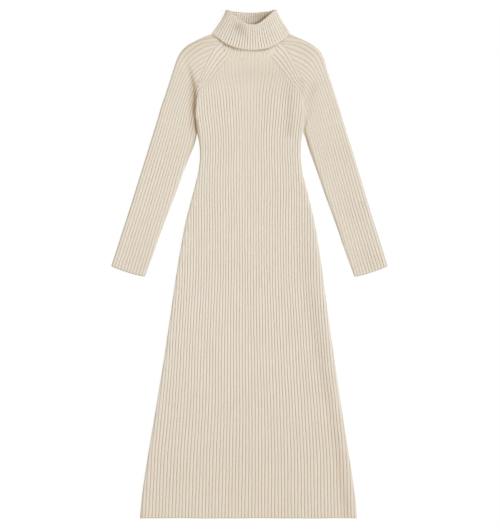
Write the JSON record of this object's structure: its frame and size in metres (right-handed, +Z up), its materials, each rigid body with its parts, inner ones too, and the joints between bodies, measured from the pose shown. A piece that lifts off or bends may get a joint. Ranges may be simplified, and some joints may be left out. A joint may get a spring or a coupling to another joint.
{
  "type": "sweater dress",
  "caption": "Long rib-knit sweater dress with a turned-down roll collar, raglan sleeves and an A-line skirt, laid flat on its back.",
  "frame": {"origin": "on the surface the dress lies on, at the middle of its plan", "axes": "+Z up out of the dress's front, +Y from the hem to the collar, +X to the right of someone who looks down on the front"},
  "size_m": [0.773, 1.4274, 0.0232],
  "materials": {
    "rib_knit": "matte cream wool-blend rib knit with a soft fuzz"
  },
  "bodies": {
    "root": {"front_body": "rib_knit", "back_body": "rib_knit", "sleeve_left": "rib_knit", "sleeve_right": "rib_knit", "collar": "rib_knit"}
  },
  "joints": []
}
